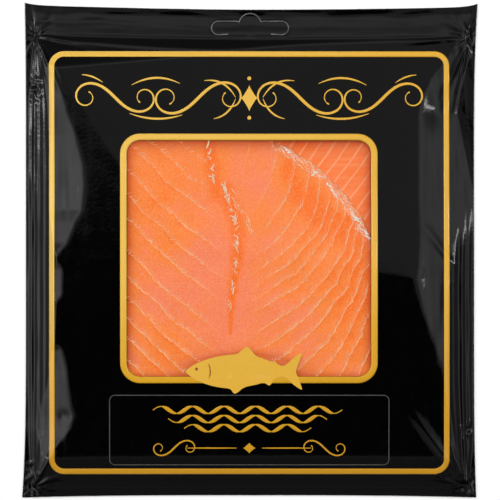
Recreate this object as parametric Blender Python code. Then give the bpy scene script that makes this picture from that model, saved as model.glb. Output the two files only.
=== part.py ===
"""A sealed pack of sliced smoked salmon, lying on its back with the window side up.

The pack is a flat black film pouch. Its front has a clear window with rounded corners, and two
slices of fish lie one on the other under it. +X is the pack's right, +Y its top edge with the
hang slot, and +Z the shown side. The origin is the centre of the base.
"""
import math

import bmesh
import bpy

MM = 0.001

# Outline of the pouch: four nearly straight seams, drawn in between its corners.
HALF_WIDTH = 93.3 * MM
FLARE_TOP = 1.1 * MM
FLARE_BOTTOM = 1.4 * MM
HALF_HEIGHT = 103.2 * MM
DIP_TOP = 2.7 * MM
DIP_BOTTOM = 0.9 * MM

# Heights: the seams lie low, and the front rises to a flat panel over the fish.
SEAM_FLOOR = 0.7 * MM
SEAM_TOP = 1.5 * MM
PANEL_TOP = 8.0 * MM
BACK_RISE_WIDTH = 7.0 * MM

# How far the seams reach in from each edge, and how far the slopes inside them run.
SIDE_SEAM = 5.0 * MM
SIDE_SLOPE = 19.0 * MM
TOP_SEAM = 10.0 * MM
TOP_SLOPE = 11.0 * MM
BOTTOM_SEAM = 3.4 * MM
BOTTOM_SLOPE = 9.0 * MM
SLOPE_POWER = 1.8
SLOPE_WAIST = 0.35
CORNER_BLEND = 0.12

# Folds pressed into the film. Each side has pleats that run from one corner pinch to the other,
# as (distance in from the edge at mid height, depth, half width). Each end has one cross fold,
# as (height, sag at the middle, depth, half width).
SIDE_PLEATS = (
    (3.0 * MM, 0.30 * MM, 1.2 * MM),
    (7.4 * MM, 0.65 * MM, 1.9 * MM),
    (12.4 * MM, 0.55 * MM, 2.1 * MM),
)
END_FOLDS = (
    (89.0 * MM, 3.6 * MM, 0.55 * MM, 1.9 * MM),
    (-97.4 * MM, -2.2 * MM, 0.45 * MM, 1.6 * MM),
)
PINCH_HALF_WIDTH = 88.6 * MM
PINCH_HEIGHTS = (-97.6 * MM, 88.6 * MM)
PINCH_DEPTH = 1.1 * MM
PINCH_REACH = 3.4 * MM
THINNEST = 0.45 * MM

# The clear window, and the pocket for the fish, which reaches further under the printed film.
WINDOW_CENTRE = (-0.45 * MM, -3.6 * MM)
WINDOW_HALF = (50.85 * MM, 49.2 * MM)
WINDOW_RADIUS = 5.7 * MM
FILM_THICKNESS = 0.5 * MM
POCKET_MARGIN = 3.6 * MM
POCKET_FLOOR = 0.9 * MM
POCKET_ROOF = 7.3 * MM
GAP = 0.3 * MM

# The fish: a lower slice over the whole pocket, and an upper one whose edge is a long arc.
LOWER_TOP = 3.5 * MM
UPPER_TOP = 6.1 * MM
SLICE_ROLL = 1.4 * MM
SLICE_SWELL = 0.22 * MM
EDGE_ARC_CENTRE = (-19.0 * MM, -25.3 * MM)
EDGE_ARC_RADIUS = 75.5 * MM

# The die-cut hang slot in the head of the pouch, still shut: a shallow line round a flap.
SLOT_HALF_LENGTH = 16.0 * MM
SLOT_BASE = 89.6 * MM
SLOT_HEIGHT = 5.7 * MM
SLOT_HUMP_HALF = 4.4 * MM
SLOT_HUMP_TOP = 98.3 * MM
SLOT_CUT_WIDTH = 0.5 * MM
SLOT_CUT_DEPTH = 0.35 * MM
SLOT_HINGE_HALF = 8.6 * MM

# Spacing of the film's grid: fine over the seams and slopes, wide over the flat panel.
FINE_STEP = 1.55 * MM
WIDE_STEP = 8.0 * MM
FINE_SIDE = 27.0 * MM
FINE_TOP = 24.0 * MM
FINE_BOTTOM = 15.0 * MM
SLICE_STEPS = (20, 22)
ARC_STEPS = 8


def clear_scene():
    for obj in list(bpy.data.objects):
        bpy.data.objects.remove(obj)


def finish(name, base_color, roughness, alpha=1.0):
    """A plain Principled finish for one sub-part."""
    material = bpy.data.materials.new(name)
    material.use_nodes = True
    shader = material.node_tree.nodes["Principled BSDF"]
    shader.inputs["Base Color"].default_value = (*base_color, 1.0)
    shader.inputs["Roughness"].default_value = roughness
    shader.inputs["Metallic"].default_value = 0.0
    shader.inputs["Alpha"].default_value = alpha
    return material


def add_object(name, bm, material=None):
    """Turns a bmesh into one named object with its faces pointing out."""
    bmesh.ops.recalc_face_normals(bm, faces=bm.faces)
    mesh = bpy.data.meshes.new(name)
    bm.to_mesh(mesh)
    bm.free()
    obj = bpy.data.objects.new(name, mesh)
    bpy.context.scene.collection.objects.link(obj)
    if material:
        mesh.materials.append(material)
    return obj


def graded(steps):
    """Values from -1 to 1, set closer together towards both ends."""
    even = [2 * i / steps - 1 for i in range(steps + 1)]
    return [(s + math.sin(math.pi / 2 * s)) / 2 for s in even]


def zoned(half_size, fine_start, fine_end):
    """Values from -1 to 1: fine steps over a zone at each end and wide steps between them."""
    marks = [-half_size, -half_size + fine_start, half_size - fine_end, half_size]
    values = []
    for low, high, step in zip(marks, marks[1:], (FINE_STEP, WIDE_STEP, FINE_STEP)):
        count = round((high - low) / step)
        values += [(low + (high - low) * i / count) / half_size for i in range(count)]
    return [*values, 1.0]


def top_edge(x):
    return HALF_HEIGHT - DIP_TOP * (1 - abs(x / HALF_WIDTH) ** 2.2)


def bottom_edge(x):
    return -HALF_HEIGHT + DIP_BOTTOM * (1 - abs(x / HALF_WIDTH) ** 2.2)


def side_edge(y):
    flare = FLARE_TOP if y > 0 else FLARE_BOTTOM
    return HALF_WIDTH + flare * abs(y / HALF_HEIGHT) ** 5


def outline_point(u, v):
    """The place on the pouch for u across and v up, both from -1 to 1."""
    low = bottom_edge(u * HALF_WIDTH)
    high = top_edge(u * HALF_WIDTH)
    y = low + (high - low) * (v + 1) / 2
    return u * side_edge(y), y


def soft_least(values, blend):
    """The smallest value, with the creases between them rounded off."""
    total = sum(math.exp(-value / blend) for value in values)
    return -blend * math.log(total)


def rise(x, y):
    """How far up the slope a point is: 0 on the seams and 1 on the flat panel."""
    side_slope = SIDE_SLOPE * (1 - SLOPE_WAIST * (y / HALF_HEIGHT) ** 2)
    shares = (
        (side_edge(y) - abs(x) - SIDE_SEAM) / side_slope,
        (top_edge(x) - y - TOP_SEAM) / TOP_SLOPE,
        (y - bottom_edge(x) - BOTTOM_SEAM) / BOTTOM_SLOPE,
    )
    share = soft_least([*shares, 1.0 + 3 * CORNER_BLEND], CORNER_BLEND)
    share = min(max(share, 0.0), 1.0)
    return 1 - (1 - share) ** SLOPE_POWER


def groove(distance, depth, half_width):
    """The depth of a rounded fold at a distance from its line."""
    return depth * math.exp(-((distance / half_width) ** 2))


def fold_depth(x, y):
    """All the pressed folds together at one place."""
    low, high = PINCH_HEIGHTS
    middle, reach = (low + high) / 2, (high - low) / 2
    along = min(abs(y - middle) / reach, 1.0)
    from_edge = side_edge(y) - abs(x)
    pinch_inset = side_edge(y) - PINCH_HALF_WIDTH
    depth = 0.0
    for inset, fold, half_width in SIDE_PLEATS:
        line = pinch_inset + (inset - pinch_inset) * (1 - along**3)
        depth += groove(from_edge - line, fold * (1 - along**6), half_width)
    across = min(abs(x) / PINCH_HALF_WIDTH, 1.0)
    for height, sag, fold, half_width in END_FOLDS:
        line = height - sag * (1 - across**3)
        depth += groove(y - line, fold * (1 - 0.5 * across**4), half_width)
    for height in PINCH_HEIGHTS:
        distance = math.hypot(abs(x) - PINCH_HALF_WIDTH, y - height)
        depth += groove(distance, PINCH_DEPTH, PINCH_REACH)
    return depth


def front_height(x, y):
    """The front of the film: seam, slope and panel, less its folds, never thinner than the film."""
    height = SEAM_TOP + (PANEL_TOP - SEAM_TOP) * rise(x, y) - fold_depth(x, y)
    return max(height, back_height(x, y) + THINNEST)


def back_height(x, y):
    """The back is flat on the ground and lifts a little to the seams."""
    inside = min(side_edge(y) - abs(x), top_edge(x) - y, y - bottom_edge(x))
    share = min(max(1 - inside / BACK_RISE_WIDTH, 0.0), 1.0)
    return SEAM_FLOOR * share * share * (3 - 2 * share)


def rounded_rectangle(centre, half, radius):
    """Corner arcs of a rounded rectangle, anticlockwise, as (x, y) points."""
    points = []
    for quarter, (sx, sy) in enumerate(((1, 1), (-1, 1), (-1, -1), (1, -1))):
        cx = centre[0] + sx * (half[0] - radius)
        cy = centre[1] + sy * (half[1] - radius)
        for step in range(ARC_STEPS + 1):
            angle = (quarter + step / ARC_STEPS) * math.pi / 2
            points.append((cx + radius * math.cos(angle), cy + radius * math.sin(angle)))
    return points


def prism(name, outline, low, high, material=None):
    """An upright prism over a closed outline of (x, y) points."""
    bm = bmesh.new()
    face = bm.faces.new([bm.verts.new((x, y, low)) for x, y in outline])
    raised = bmesh.ops.extrude_face_region(bm, geom=[face])
    tops = [item for item in raised["geom"] if isinstance(item, bmesh.types.BMVert)]
    bmesh.ops.translate(bm, verts=tops, vec=(0, 0, high - low))
    return add_object(name, bm, material)


def blanket(columns, rows, place, under):
    """A closed body between an upper grid, set by place(u, v), and a lower one, set by under."""
    bm = bmesh.new()
    bmesh.ops.create_grid(bm, x_segments=len(columns) - 1, y_segments=len(rows) - 1, size=1.0)
    ordered = sorted(bm.verts, key=lambda vert: (round(vert.co.y, 6), round(vert.co.x, 6)))
    for index, vert in enumerate(ordered):
        v, u = rows[index // len(columns)], columns[index % len(columns)]
        vert.co = place(u, v)
    upper_faces = list(bm.faces)
    rim = [edge for edge in bm.edges if edge.is_boundary]
    copy = bmesh.ops.duplicate(bm, geom=[*bm.verts, *bm.edges, *upper_faces])
    lower_verts = [item for item in copy["geom"] if isinstance(item, bmesh.types.BMVert)]
    lower_edges = [item for item in copy["geom"] if isinstance(item, bmesh.types.BMEdge)]
    for vert in lower_verts:
        vert.co.z = under(vert.co.x, vert.co.y)
    lower_rim = [edge for edge in lower_edges if edge.is_boundary]
    bmesh.ops.bridge_loops(bm, edges=rim + lower_rim)
    bmesh.ops.recalc_face_normals(bm, faces=bm.faces)
    bmesh.ops.dissolve_limit(
        bm, angle_limit=math.radians(0.4), verts=bm.verts, edges=bm.edges
    )
    bmesh.ops.triangulate(bm, faces=bm.faces)
    return bm


def cut(obj, cutter):
    """Takes the cutter's shape out of obj. The cutter is a helper, not a part."""
    cutter.hide_render = True
    cutter.display_type = "WIRE"
    modifier = obj.modifiers.new("cut " + cutter.name, "BOOLEAN")
    modifier.operation = "DIFFERENCE"
    modifier.object = cutter


def slot_line():
    """The cut line of the hang slot, from one end of the flap's hinge round to the other."""
    radius = SLOT_HEIGHT / 2
    middle = SLOT_BASE + radius
    shoulder = SLOT_BASE + SLOT_HEIGHT
    turns = range(ARC_STEPS + 1)
    right = [(SLOT_HINGE_HALF, SLOT_BASE)]
    for step in turns:
        angle = math.pi * (step / ARC_STEPS - 0.5)
        x = SLOT_HALF_LENGTH - radius + radius * math.cos(angle)
        right.append((x, middle + radius * math.sin(angle)))
    hump = []
    for step in turns:
        angle = math.pi * step / ARC_STEPS
        x = SLOT_HUMP_HALF * math.cos(angle)
        hump.append((x, shoulder + (SLOT_HUMP_TOP - shoulder) * math.sin(angle)))
    left = [(-x, y) for x, y in reversed(right)]
    return right + hump + left


def ribbon(points, width):
    """A closed outline of even width along an open line of (x, y) points."""
    sides = ([], [])
    for index, (x, y) in enumerate(points):
        ahead = points[min(index + 1, len(points) - 1)]
        behind = points[max(index - 1, 0)]
        dx, dy = ahead[0] - behind[0], ahead[1] - behind[1]
        length = math.hypot(dx, dy)
        for side, sign in zip(sides, (1, -1)):
            side.append((x - sign * dy / length * width / 2, y + sign * dx / length * width / 2))
    return sides[0] + sides[1][::-1]


def make_pouch(material):
    """The printed film pouch, with its window opening, its pocket and the slot's cut line."""
    columns = zoned(HALF_WIDTH, FINE_SIDE, FINE_SIDE)
    rows = zoned(HALF_HEIGHT, FINE_BOTTOM, FINE_TOP)

    def place(u, v):
        x, y = outline_point(u, v)
        return x, y, front_height(x, y)

    pouch = add_object("pouch", blanket(columns, rows, place, back_height), material)
    mouth = prism(
        "window_cutter",
        rounded_rectangle(WINDOW_CENTRE, WINDOW_HALF, WINDOW_RADIUS),
        (POCKET_FLOOR + POCKET_ROOF) / 2,
        PANEL_TOP + 2 * MM,
    )
    pocket = prism(
        "pocket_cutter",
        rounded_rectangle(
            WINDOW_CENTRE,
            [half + POCKET_MARGIN for half in WINDOW_HALF],
            WINDOW_RADIUS + POCKET_MARGIN,
        ),
        POCKET_FLOOR,
        POCKET_ROOF,
    )
    slot = prism(
        "slot_cutter", ribbon(slot_line(), SLOT_CUT_WIDTH), SEAM_TOP - SLOT_CUT_DEPTH, PANEL_TOP
    )
    for cutter in (pocket, mouth, slot):
        cut(pouch, cutter)
    return pouch


def make_window(material):
    """The clear film over the window, set into the printed film with a hair of clearance."""
    outline = rounded_rectangle(
        WINDOW_CENTRE, [half - GAP for half in WINDOW_HALF], WINDOW_RADIUS - GAP
    )
    return prism("window_film", outline, PANEL_TOP - FILM_THICKNESS, PANEL_TOP, material)


def pocket_limits():
    """The pocket's sides less the gap: low x, high x, low y and high y."""
    limits = []
    for centre, half in zip(WINDOW_CENTRE, WINDOW_HALF):
        reach = half + POCKET_MARGIN - GAP
        limits += [centre - reach, centre + reach]
    return limits


def swell(x, y):
    """The gentle rise and fall of a cut slice."""
    return SLICE_SWELL * (math.sin(x / (11 * MM)) * math.cos(y / (14 * MM)) - 1)


def corner_inset(y, low_y, high_y, radius):
    """How far a rounded corner draws a side in at height y."""
    near = min(y - low_y, high_y - y)
    if near >= radius:
        return 0.0
    return radius - math.sqrt(max(radius**2 - (radius - near) ** 2, 0.0))


def make_slice(name, material, low, top, right_side, high_y):
    """A slice of fish: rounded corners, a softly swelling top and a rolled-over edge."""
    low_x, _, low_y, _ = pocket_limits()
    radius = WINDOW_RADIUS + POCKET_MARGIN

    def spread(u, v):
        y = low_y + (high_y - low_y) * (v + 1) / 2
        inset = corner_inset(y, low_y, high_y, radius)
        left, right = low_x + inset, right_side(y) - inset
        x = left + (right - left) * (u + 1) / 2
        return x, y, min(x - left, right - x, y - low_y, high_y - y)

    def place(u, v):
        x, y, inside = spread(u, v)
        share = min(max(inside / (2 * SLICE_ROLL), 0.0), 1.0)
        roll = SLICE_ROLL * (1 - math.sqrt(1 - (1 - share) ** 2))
        return x, y, top + swell(x, y) - roll

    columns, rows = (graded(steps) for steps in SLICE_STEPS)
    return add_object(name, blanket(columns, rows, place, lambda x, y: low), material)


def make_lower_slice(material):
    _, high_x, _, high_y = pocket_limits()
    low = POCKET_FLOOR + GAP
    return make_slice("salmon_lower_slice", material, low, LOWER_TOP, lambda y: high_x, high_y)


def make_upper_slice(material):
    """The slice that shows over nearly the whole window. An arc cuts off its top right corner."""
    _, high_x, _, pocket_high = pocket_limits()
    centre_x, centre_y = EDGE_ARC_CENTRE
    high_y = min(pocket_high, centre_y + EDGE_ARC_RADIUS * 0.985)

    def right_side(y):
        reach = max(EDGE_ARC_RADIUS**2 - (y - centre_y) ** 2, 0.0)
        return min(high_x, centre_x + math.sqrt(reach))

    low = LOWER_TOP + GAP
    return make_slice("salmon_upper_slice", material, low, UPPER_TOP, right_side, high_y)


clear_scene()
make_pouch(finish("black film", (0.006, 0.006, 0.006), 0.18))
make_window(finish("clear film", (1.0, 1.0, 1.0), 0.05, alpha=0.2))
make_lower_slice(finish("smoked salmon, lower", (0.82, 0.22, 0.06), 0.35))
make_upper_slice(finish("smoked salmon, upper", (0.85, 0.24, 0.08), 0.35))
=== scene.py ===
import math

import bmesh
import bpy
import numpy as np
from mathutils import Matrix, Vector


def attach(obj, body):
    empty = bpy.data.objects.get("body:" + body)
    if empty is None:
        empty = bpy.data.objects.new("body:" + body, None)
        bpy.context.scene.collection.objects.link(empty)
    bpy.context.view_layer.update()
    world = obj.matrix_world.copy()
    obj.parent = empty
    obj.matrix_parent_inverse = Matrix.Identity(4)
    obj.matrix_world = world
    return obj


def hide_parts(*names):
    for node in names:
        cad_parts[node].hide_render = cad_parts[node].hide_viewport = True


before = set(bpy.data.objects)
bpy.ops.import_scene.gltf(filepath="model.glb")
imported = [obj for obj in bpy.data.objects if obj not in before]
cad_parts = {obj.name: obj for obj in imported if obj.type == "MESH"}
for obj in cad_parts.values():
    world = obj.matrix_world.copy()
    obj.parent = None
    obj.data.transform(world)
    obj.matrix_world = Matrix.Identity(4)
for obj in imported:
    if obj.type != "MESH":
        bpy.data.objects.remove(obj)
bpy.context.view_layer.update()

# ---- The printed film pouch ------------------------------------------------------------------
# Two films of glossy black printed plastic, welded together along all four sides round the fish.
# The welds lie low and flat. The front film rises over the fish, so it is pleated down both
# sides, folded across both ends and gathered into a pucker near each corner.

MM = 0.001

# The outline in millimetres: how high each edge runs and how far each corner flicks out.
POUCH_SIDE = 93.4
POUCH_TOP = 100.4
POUCH_FOOT = -102.0
CORNER_FLARE = {"top_left": 0.5, "top_right": 1.5, "foot_left": 1.6, "foot_right": 0.9}

# Where the film lies, in millimetres above the table.
WELD_HEIGHT = 1.15
WELD_UNDERSIDE = 0.72
PANEL_HEIGHT = 7.35

# The clear window in the front film.
WINDOW_MIDDLE = (-0.45, -3.25)
WINDOW_HALF = (50.85, 49.15)
WINDOW_CORNER = 5.7

# The gathers near the corners, where the pleats meet.
PINCHES = {
    "top_left": (-88.9, 89.2),
    "top_right": (91.2, 88.5),
    "foot_left": (-90.2, -98.7),
    "foot_right": (90.2, -98.3),
}

# The hang slot: a long hole with a hump in the middle of its upper side.
SLOT_HALF = 16.05
SLOT_HEIGHT = 92.75
SLOT_RADIUS = 2.85
SLOT_HUMP_RADIUS = 4.7
SLOT_HUMP_HEIGHT = 94.1

# Rows of folds, counted in from an edge: (how far in, the slope of the film after the fold).
LEFT_PLEATS = (
    (0.5, 0.10), (1.3, 0.46), (2.4, -0.12), (3.5, 0.62), (4.7, 0.10), (5.5, 0.26), (6.3, 0.80),
    (7.2, 0.06), (8.3, 0.58), (9.3, 0.90),
)
RIGHT_PLEATS = (
    (0.4, 0.30), (1.1, 0.55), (2.0, 0.08), (3.6, 0.75), (4.8, -0.10), (6.3, 0.40), (7.3, 0.85),
    (8.2, 0.12), (9.0, 0.40), (9.9, 0.90),
)
TOP_FOLDS = ((2.9, 0.11), (6.6, 0.19), (11.6, -0.10), (12.4, 0.42))
FOOT_FOLDS = (
    (0.4, 0.27), (1.9, 0.02), (2.9, 0.31), (4.3, 0.01), (5.3, 0.33), (7.5, 0.04), (8.5, 0.30),
    (9.6, 0.19),
)

# How far in the tilted side of the pouch reaches, as (height up the pouch, reach).
LEFT_REACH = (
    (-103, 9), (-86, 11.5), (-74, 19.4), (-69, 20), (-50, 17.8), (-41, 15.6), (-38, 11.2),
    (-24, 11.4), (-18, 15.6), (-8, 15.9), (-3, 12.4), (3, 17.6), (12, 21.2), (17, 24),
    (28, 24.7), (36, 24.2), (48, 21.5), (58, 17.8), (65, 16.3), (73, 15.1), (79, 11.8), (90, 6),
)
RIGHT_REACH = (
    (-103, 8), (-86, 9.5), (-62, 11.5), (-49, 14), (-24, 22.2), (-12, 24.5), (-6, 23.6),
    (57, 23.4), (65, 21.5), (72, 18.6), (81, 12.2), (87, 7.5), (92, 4),
)
SIDE_TILT = 0.20

# Soft ridges that run from a gather into the panel: start, end, height and half width.
TENSION_FOLDS = (
    ((-88.9, 89.2), (-77, 62), 0.42, 1.3), ((-88.9, 89.2), (-61, 84.5), 0.22, 1.2),
    ((-88.9, 89.2), (-83, 60), 0.34, 1.0), ((91.2, 88.5), (79, 62), 0.50, 1.6),
    ((91.2, 88.5), (84, 52), 0.40, 1.1), ((91.2, 88.5), (60, 86), 0.20, 1.3),
    ((-90.2, -98.7), (-79, -78), 0.38, 1.4), ((-90.2, -98.7), (-70, -90), 0.24, 1.4),
    ((90.2, -98.3), (64, -63), 0.42, 2.6), ((90.2, -98.3), (80, -74), 0.34, 1.5),
    ((90.2, -98.3), (72, -93), 0.24, 1.3), ((86, -8), (71, 12), 0.24, 2.2),
    ((84, 6), (79, -46), 0.26, 2.4),
)

# Shallow dents and swellings: middle, size across and up, height.
DENTS = (
    ((77.7, 59.0), (4.6, 7.5), -0.62), ((-77.4, -69.0), (3.0, 2.4), -0.34),
    ((-82.0, 54.0), (3.2, 9.0), 0.22), ((74.5, -10.0), (4.2, 9.0), -0.26),
    ((-74.5, 28.0), (5.0, 11.0), -0.22), ((-76.5, -52.0), (3.6, 8.0), 0.16),
    ((76.0, 30.0), (4.5, 14.0), -0.18), ((48.0, 97.0), (22.0, 1.7), -0.10),
)


def soft_ramp(distance, rounding):
    """Nothing below 0 and the distance itself above it, with the turn rounded off."""
    return rounding * np.logaddexp(0.0, distance / rounding)


def soft_least(heights, rounding):
    """The lowest of several surfaces, with the creases where they meet rounded off."""
    total = sum(np.exp(-(height - heights[0]) / rounding) for height in heights)
    return heights[0] - rounding * np.log(total)


def folded(distance, start, folds, rounding=0.22):
    """The height of film that rises through a row of folds."""
    height = start
    slope = 0.0
    for place, next_slope in folds:
        height = height + (next_slope - slope) * soft_ramp(distance - place, rounding)
        slope = next_slope
    return height


def bell(distance):
    return np.exp(-distance * distance)


def ripples(x, y, wave_length, seed, count=24):
    """A soft random surface between about -1 and 1 whose bumps are about one wave length apart."""
    random = np.random.default_rng(seed)
    total = np.zeros_like(x)
    for _ in range(count):
        turn = random.uniform(0, 2 * math.pi)
        length = wave_length * random.uniform(0.7, 1.6)
        phase = random.uniform(0, 2 * math.pi)
        total += np.cos(2 * math.pi * (x * math.cos(turn) + y * math.sin(turn)) / length + phase)
    return total / math.sqrt(count / 2)


def side_at(y, left):
    side = "left" if left else "right"
    flare = np.where(y > 0, CORNER_FLARE["top_" + side], CORNER_FLARE["foot_" + side])
    return POUCH_SIDE + flare * np.abs(y / 103.0) ** 5


def top_at(x):
    rise = np.where(x < 0, 1.9 * np.abs(x / 93) ** 1.5, 1.1 * np.abs(x / 93) ** 2)
    return POUCH_TOP + rise + 1.2 * np.abs(x / 94.5) ** 26


def foot_at(x):
    return POUCH_FOOT - 0.95 * np.abs(x / 94) ** 3


def gathered(distance, pinch_distance, along, tightness):
    """Draws a row of folds together towards the gather at each end of an edge."""
    closeness = np.clip(np.abs(along), 0, 1) ** tightness
    spread = 1 - 0.72 * closeness
    return pinch_distance + (distance - pinch_distance) / spread


def slot_gap(x, y):
    """Signed distance to the hang slot's cut line, less than 0 on its flap."""
    past_end = np.maximum(np.abs(x) - (SLOT_HALF - SLOT_RADIUS), 0)
    long_part = np.hypot(past_end, y - SLOT_HEIGHT) - SLOT_RADIUS
    hump = np.hypot(x, y - SLOT_HUMP_HEIGHT) - SLOT_HUMP_RADIUS
    return np.minimum(long_part, hump)


def film_height(x, y):
    """How high the front film lies at each place, all in millimetres."""
    from_left = x + side_at(y, True)
    from_right = side_at(y, False) - x
    from_top = top_at(x) - y
    from_foot = y - foot_at(x)

    # The panel over the fish slopes away towards the head, past a slanting crease, and
    # towards the foot.
    past_steep = 0.846 * (x + 81.5) + 0.533 * (y - 78.3)
    past_level = 0.15 * (x - 52) + 0.989 * (y + 9)
    past_crease = soft_least([past_steep, past_level], 6.0)
    panel = PANEL_HEIGHT - 0.045 * soft_ramp(past_crease, 0.5)
    panel = panel - 0.046 * soft_ramp(-22 - y, 9.0)

    along = (y + 4.8) / 93.8
    wander = 0.45 * np.sin(y / 17.0) + 0.25 * np.sin(y / 6.3 + 1.0)
    left_row = folded(gathered(from_left, 4.9, along, 5), WELD_HEIGHT, LEFT_PLEATS)
    right_row = folded(
        gathered(from_right + 0.3 * wander, 3.6, along, 5), WELD_HEIGHT, RIGHT_PLEATS
    )
    left_reach = np.interp(y, *zip(*LEFT_REACH))
    right_reach = np.interp(y, *zip(*RIGHT_REACH))
    left_facet = panel - SIDE_TILT * soft_ramp(left_reach - from_left, 0.3)
    right_facet = panel - SIDE_TILT * soft_ramp(right_reach - from_right, 0.3)

    across = np.clip(np.abs(x + 0.5) / 89.5, 0, 1)
    bow = 12.9 + 4.2 * (1 - across**2.2)
    top_row = folded(from_top, WELD_HEIGHT, TOP_FOLDS)
    top_row = top_row - 0.44 * soft_ramp(from_top - bow, 0.2)
    top_row = top_row + 0.40 * soft_ramp(from_top - bow - 1.0, 0.2)
    foot_row = folded(from_foot, WELD_HEIGHT, FOOT_FOLDS)

    height = soft_least(
        [panel, left_facet, right_facet, left_row, right_row, top_row, foot_row], 0.10
    )
    height = np.maximum(height, WELD_HEIGHT - 0.25)

    # Tension ridges, dents and the gathers themselves.
    for start, end, rise, half_width in TENSION_FOLDS:
        run = np.array(end) - np.array(start)
        length = math.hypot(*run)
        run = run / length
        part = np.clip(((x - start[0]) * run[0] + (y - start[1]) * run[1]) / length, 0, 1)
        gap_x = x - start[0] - part * length * run[0]
        gap_y = y - start[1] - part * length * run[1]
        width = half_width * (0.45 + 0.55 * part)
        off = np.hypot(gap_x, gap_y) / width
        height = height + rise * np.sin(math.pi * part**0.7) * bell(off)
    for middle, size, rise in DENTS:
        height = height + rise * bell(
            np.hypot((x - middle[0]) / size[0], (y - middle[1]) / size[1])
        )
    inside = np.clip(np.minimum(np.minimum(from_left, from_right), from_foot) / 1.2, 0, 1)
    for index, (pinch_x, pinch_y) in enumerate(PINCHES.values()):
        away = np.hypot(x - pinch_x, y - pinch_y)
        turn = np.arctan2(y - pinch_y, x - pinch_x)
        rays = np.cos(9 * turn + index) + 0.6 * np.cos(15 * turn + 2 * index + 1)
        pucker = 0.30 * rays * (away / 3.0) * np.exp(-away / 3.0) * inside
        height = height + pucker - 0.55 * bell(away / 2.2) * inside
        height = height + 0.12 * ripples(x, y, 3.0, 40 + index, 14) * bell(away / 3.6) * inside

    # Fine crinkles: hardly any over the panel, more over the pleats and the welds.
    edge = np.minimum(from_left, from_right)
    crinkle = np.exp(-np.clip(edge - 4, 0, None) / 9.0)
    height = height + crinkle * 0.035 * ripples(x * 1.5, y * 0.20, 5.0, 11)
    for middle, reach in (((-90.0, 67.5), 4.2), ((90.6, -75.0), 3.4), ((-91.0, -92.0), 4.0)):
        patch = bell(np.hypot((x - middle[0]) / 2.6, (y - middle[1]) / reach))
        height = height + 0.20 * ripples(x, y, 3.4, int(reach * 10), 16) * patch
    height = height + 0.008 * ripples(x, y, 12.0, 13)
    height = height + 0.025 * ripples(x * 0.18, y, 3.6, 14) * bell(from_top / 9.0)

    # The cut line of the hang slot is pressed in, and its flap leans a little.
    slot = slot_gap(x, y)
    height = height - 0.10 * bell(slot / 0.7) - 0.07 * np.clip(-slot, 0, 1) * (y - 89.5) / 3
    return np.maximum(height, WELD_UNDERSIDE + 0.18)


QUARTERS = ((1, 1), (-1, 1), (-1, -1), (1, -1))
SIDE_STEPS = 190
CORNER_STEPS = 42
EDGE_BEFORE_CORNER = 15.0


def arc_points(middle, half, corner, side_steps, arc_steps):
    """Anticlockwise points round a rounded rectangle, starting on the right side."""
    points = []
    centres = [np.array(middle) + np.multiply(signs, np.array(half) - corner) for signs in QUARTERS]
    for quarter, centre in enumerate(centres):
        turns = (quarter + np.arange(arc_steps + 1) / arc_steps) * math.pi / 2
        arc = centre + corner * np.column_stack([np.cos(turns), np.sin(turns)])
        side = centres[(quarter + 1) % 4] - centre
        points += [arc[:-1], arc[-1] + side * np.arange(side_steps)[:, None] / side_steps]
    return np.concatenate(points)


def outline_points():
    """Points on the pouch's outline, one for each point round the window."""
    tips = []
    for sign_x, sign_y in QUARTERS:
        x = sign_x * POUCH_SIDE
        for _ in range(6):
            y = float(top_at(x) if sign_y > 0 else foot_at(x))
            x = sign_x * float(side_at(y, sign_x < 0))
        tips.append((x, y))
    away = EDGE_BEFORE_CORNER * (2 * np.arange(CORNER_STEPS) / CORNER_STEPS - 1)
    points = []
    for quarter, (signs, tip) in enumerate(zip(QUARTERS, tips)):

        def on_edge(x):
            return np.column_stack([x, top_at(x) if signs[1] > 0 else foot_at(x)])

        def on_side(y):
            return np.column_stack([signs[0] * side_at(y, signs[0] < 0), y])

        # The odd quarters come off the head or foot edge and lead on to a side.
        odd = quarter % 2
        back_x, back_y = (tip[axis] - signs[axis] * np.abs(away) for axis in (0, 1))
        halves = (on_side(back_y), on_edge(back_x))
        points.append(np.where((away < 0)[:, None], halves[odd], halves[1 - odd]))
        after = (quarter + 1) % 4
        start = tip[odd] - signs[odd] * EDGE_BEFORE_CORNER
        finish = tips[after][odd] - QUARTERS[after][odd] * EDGE_BEFORE_CORNER
        run = start + (finish - start) * np.arange(SIDE_STEPS) / SIDE_STEPS
        points.append((on_edge, on_side)[odd](run))
    return np.concatenate(points)


def in_scene(name, data):
    thing = bpy.data.objects.new(name, data)
    bpy.context.scene.collection.objects.link(thing)
    return thing


def close_up(mesh, merge=0.0):
    """Merges doubled points and turns every face outwards."""
    shaper = bmesh.new()
    shaper.from_mesh(mesh)
    if merge:
        bmesh.ops.remove_doubles(shaper, verts=shaper.verts, dist=merge)
    bmesh.ops.recalc_face_normals(shaper, faces=shaper.faces)
    shaper.to_mesh(mesh)
    shaper.free()


def ring_mesh(name, rings):
    """Joins rings of points into one closed mesh. Each ring is an array of (x, y, z) in mm."""
    count = len(rings[0])
    here = np.arange(count)
    after = (here + 1) % count
    faces = [here[::-1].tolist()]
    for low in range(0, (len(rings) - 1) * count, count):
        high = low + count
        faces += np.column_stack([low + here, low + after, high + after, high + here]).tolist()
    faces.append((here + (len(rings) - 1) * count).tolist())
    mesh = bpy.data.meshes.new(name)
    mesh.from_pydata((np.concatenate(rings) * MM).tolist(), [], faces)
    mesh.validate()
    close_up(mesh)
    mesh.polygons.foreach_set("use_smooth", [len(face.vertices) < 5 for face in mesh.polygons])
    return in_scene(name, mesh)


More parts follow.
